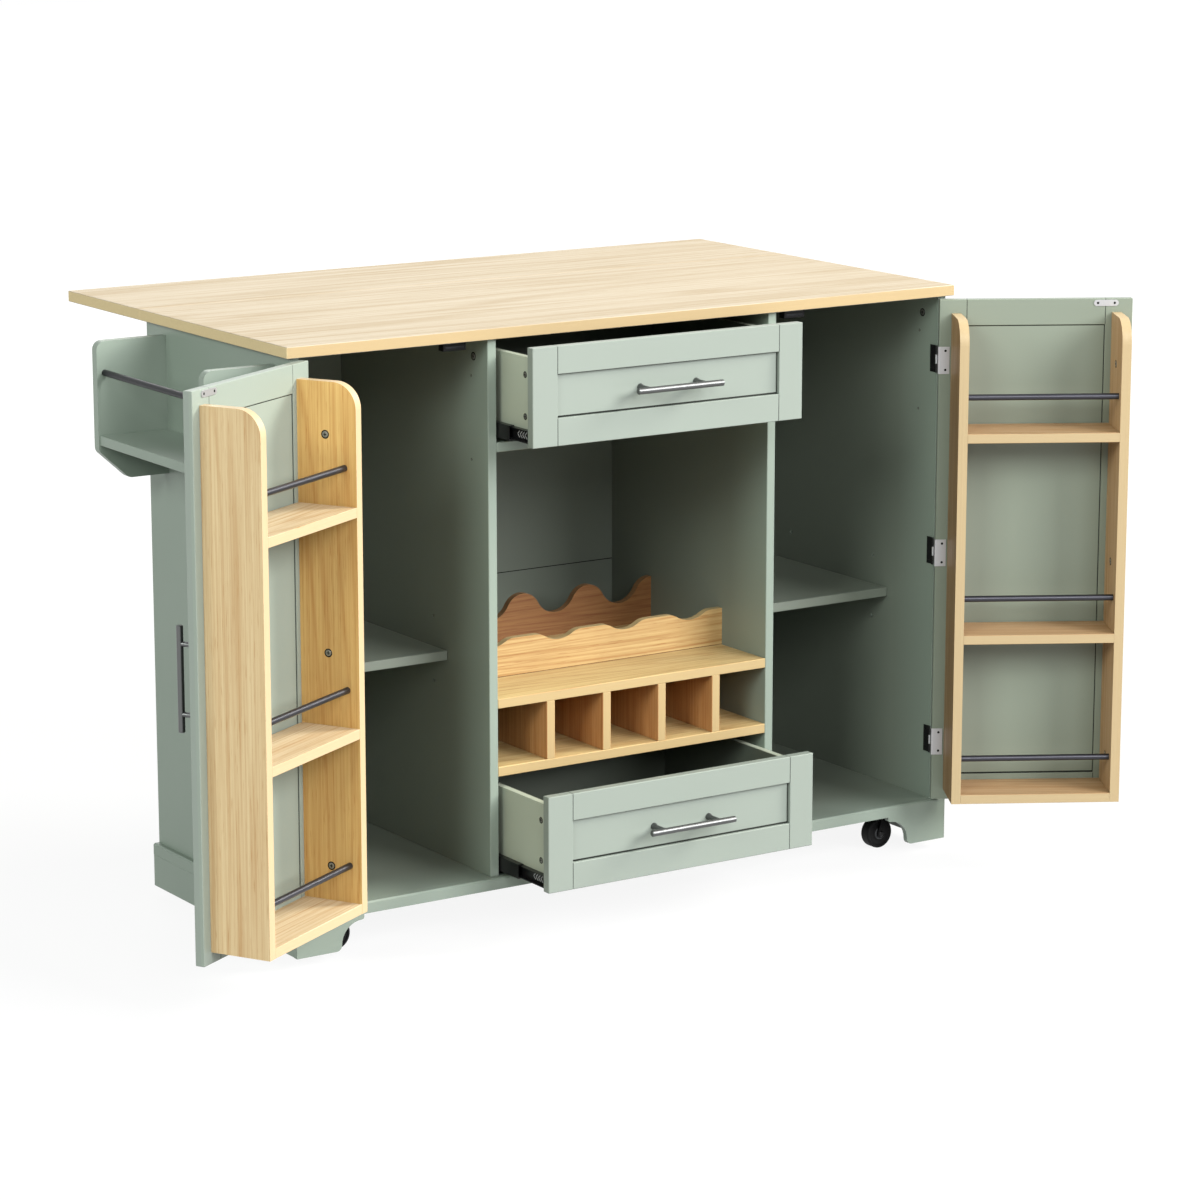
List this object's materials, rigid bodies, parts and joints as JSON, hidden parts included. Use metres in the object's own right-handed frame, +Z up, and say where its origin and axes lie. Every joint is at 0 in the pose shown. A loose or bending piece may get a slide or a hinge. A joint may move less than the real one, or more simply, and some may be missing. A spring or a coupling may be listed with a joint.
{
  "type": "drop leaf kitchen island",
  "caption": "Painted kitchen island on casters with a folding rear leaf, doors that carry oak racks, drawers, a bottle niche and a side spice rack.",
  "frame": {"origin": "on the floor under the middle of the fixed worktop", "axes": "+X to the right seen from the doors, +Y towards the folding leaf at the back, +Z up"},
  "size_m": [1.7098, 0.9547, 0.935],
  "materials": {
    "sage_paint": "satin paint",
    "worktop_oak": "clear lacquer",
    "rack_oak": "clear lacquer",
    "handle_steel": "brushed",
    "nickel_fittings": "satin nickel",
    "gunmetal_rod": "gunmetal",
    "black_steel": "black coating",
    "black_plastic": "moulded",
    "wheel_rubber": "matt"
  },
  "bodies": {
    "cabinet": {"worktop": "worktop_oak", "left_side_panel": "sage_paint", "right_side_panel": "sage_paint", "left_partition": "sage_paint", "right_partition": "sage_paint", "bottom_panel": "sage_paint", "back_panels": "sage_paint", "drawer_shelf": "sage_paint", "adjustable_shelves": "sage_paint", "shelf_pins": "nickel_fittings", "wine_shelves": "rack_oak", "wine_dividers": "rack_oak", "bottle_rest_front": "rack_oak", "bottle_rest_back": "rack_oak", "cap_moulding": "sage_paint", "side_plinths": "sage_paint", "bracket_feet": "sage_paint", "spice_rack_plates": "sage_paint", "spice_rack_shelf": "sage_paint", "spice_rack_rod": "gunmetal_rod", "magnetic_catches": "black_plastic", "hinge_frame_leaves": "nickel_fittings", "drawer_slide_rails": "black_steel", "leaf_hinge_plates": "black_steel", "strut_rails": "black_steel", "caster_plates": "black_steel"},
    "leaf": {"drop_leaf": "worktop_oak", "leaf_hinge_flaps": "black_steel", "strut_brackets": "black_steel"},
    "struts": {"leaf_struts": "black_steel"},
    "left_door_leaf": {"left_door": "sage_paint", "left_door_handle": "handle_steel", "left_door_fittings": "nickel_fittings", "left_rack_sides": "rack_oak", "left_rack_shelves": "rack_oak", "left_rack_rods": "gunmetal_rod"},
    "right_door_leaf": {"right_door": "sage_paint", "right_door_handle": "handle_steel", "right_door_fittings": "nickel_fittings", "right_rack_sides": "rack_oak", "right_rack_shelves": "rack_oak", "right_rack_rods": "gunmetal_rod"},
    "top_drawer": {"top_drawer_front": "sage_paint", "top_drawer_box": "sage_paint", "top_drawer_handle": "handle_steel", "top_drawer_runners": "black_steel"},
    "top_middles": {"top_slide_middles": "black_steel"},
    "bottom_drawer": {"bottom_drawer_front": "sage_paint", "bottom_drawer_box": "sage_paint", "bottom_drawer_handle": "handle_steel", "bottom_drawer_runners": "black_steel"},
    "bottom_middles": {"bottom_slide_middles": "black_steel"},
    "fork_fl": {"caster_fork_fl": "black_plastic"},
    "wheel_fl": {"caster_wheel_fl": "wheel_rubber"},
    "fork_fr": {"caster_fork_fr": "black_plastic"},
    "wheel_fr": {"caster_wheel_fr": "wheel_rubber"},
    "fork_bl": {"caster_fork_bl": "black_plastic"},
    "wheel_bl": {"caster_wheel_bl": "wheel_rubber"},
    "fork_br": {"caster_fork_br": "black_plastic"},
    "wheel_br": {"caster_wheel_br": "wheel_rubber"}
  },
  "joints": [
    {"name": "left_door_hinge", "type": "hinge", "parent": "cabinet", "child": "left_door_leaf", "pos_m": [-0.583, -0.2255, 0.50025], "axis": [0, 0, 1], "range_deg": [-20, 150]},
    {"name": "right_door_hinge", "type": "hinge", "parent": "cabinet", "child": "right_door_leaf", "pos_m": [0.583, -0.2255, 0.50025], "axis": [0, 0, 1], "range_deg": [-150, 20]},
    {"name": "top_drawer_slide", "type": "slide", "parent": "cabinet", "child": "top_drawer", "axis": [0, -1, 0], "range_m": [-0.096, 0.254]},
    {"name": "top_middle_slide", "type": "slide", "parent": "cabinet", "child": "top_middles", "axis": [0, -1, 0], "range_m": [-0.048, 0.127]},
    {"name": "bottom_drawer_slide", "type": "slide", "parent": "cabinet", "child": "bottom_drawer", "axis": [0, -1, 0], "range_m": [-0.136, 0.214]},
    {"name": "bottom_middle_slide", "type": "slide", "parent": "cabinet", "child": "bottom_middles", "axis": [0, -1, 0], "range_m": [-0.068, 0.107]},
    {"name": "leaf_fold", "type": "hinge", "parent": "cabinet", "child": "leaf", "pos_m": [0, 0.2353, 0.9142], "axis": [1, 0, 0], "range_deg": [-90, 0]},
    {"name": "strut_fold", "type": "hinge", "parent": "leaf", "child": "struts", "pos_m": [0, 0.3653, 0.9092], "axis": [1, 0, 0], "range_deg": [0, 137]},
    {"name": "swivel_fl", "type": "hinge", "parent": "cabinet", "child": "fork_fl", "pos_m": [-0.53, -0.175, 0.06], "axis": [0, 0, 1], "continuous": true},
    {"name": "roll_fl", "type": "hinge", "parent": "fork_fl", "child": "wheel_fl", "pos_m": [-0.515, -0.175, 0.025], "axis": [0, 1, 0], "continuous": true},
    {"name": "swivel_fr", "type": "hinge", "parent": "cabinet", "child": "fork_fr", "pos_m": [0.53, -0.175, 0.06], "axis": [0, 0, 1], "continuous": true},
    {"name": "roll_fr", "type": "hinge", "parent": "fork_fr", "child": "wheel_fr", "pos_m": [0.515, -0.175, 0.025], "axis": [0, 1, 0], "continuous": true},
    {"name": "swivel_bl", "type": "hinge", "parent": "cabinet", "child": "fork_bl", "pos_m": [-0.53, 0.156, 0.06], "axis": [0, 0, 1], "continuous": true},
    {"name": "roll_bl", "type": "hinge", "parent": "fork_bl", "child": "wheel_bl", "pos_m": [-0.515, 0.156, 0.025], "axis": [0, 1, 0], "continuous": true},
    {"name": "swivel_br", "type": "hinge", "parent": "cabinet", "child": "fork_br", "pos_m": [0.53, 0.156, 0.06], "axis": [0, 0, 1], "continuous": true},
    {"name": "roll_br", "type": "hinge", "parent": "fork_br", "child": "wheel_br", "pos_m": [0.515, 0.156, 0.025], "axis": [0, 1, 0], "continuous": true}
  ],
  "couplings": [
    {"joint": "top_middle_slide", "follows": "top_drawer_slide", "ratio": 0.5},
    {"joint": "bottom_middle_slide", "follows": "bottom_drawer_slide", "ratio": 0.5},
    {"joint": "strut_fold", "follows": "leaf_fold", "ratio": -1.5207}
  ]
}
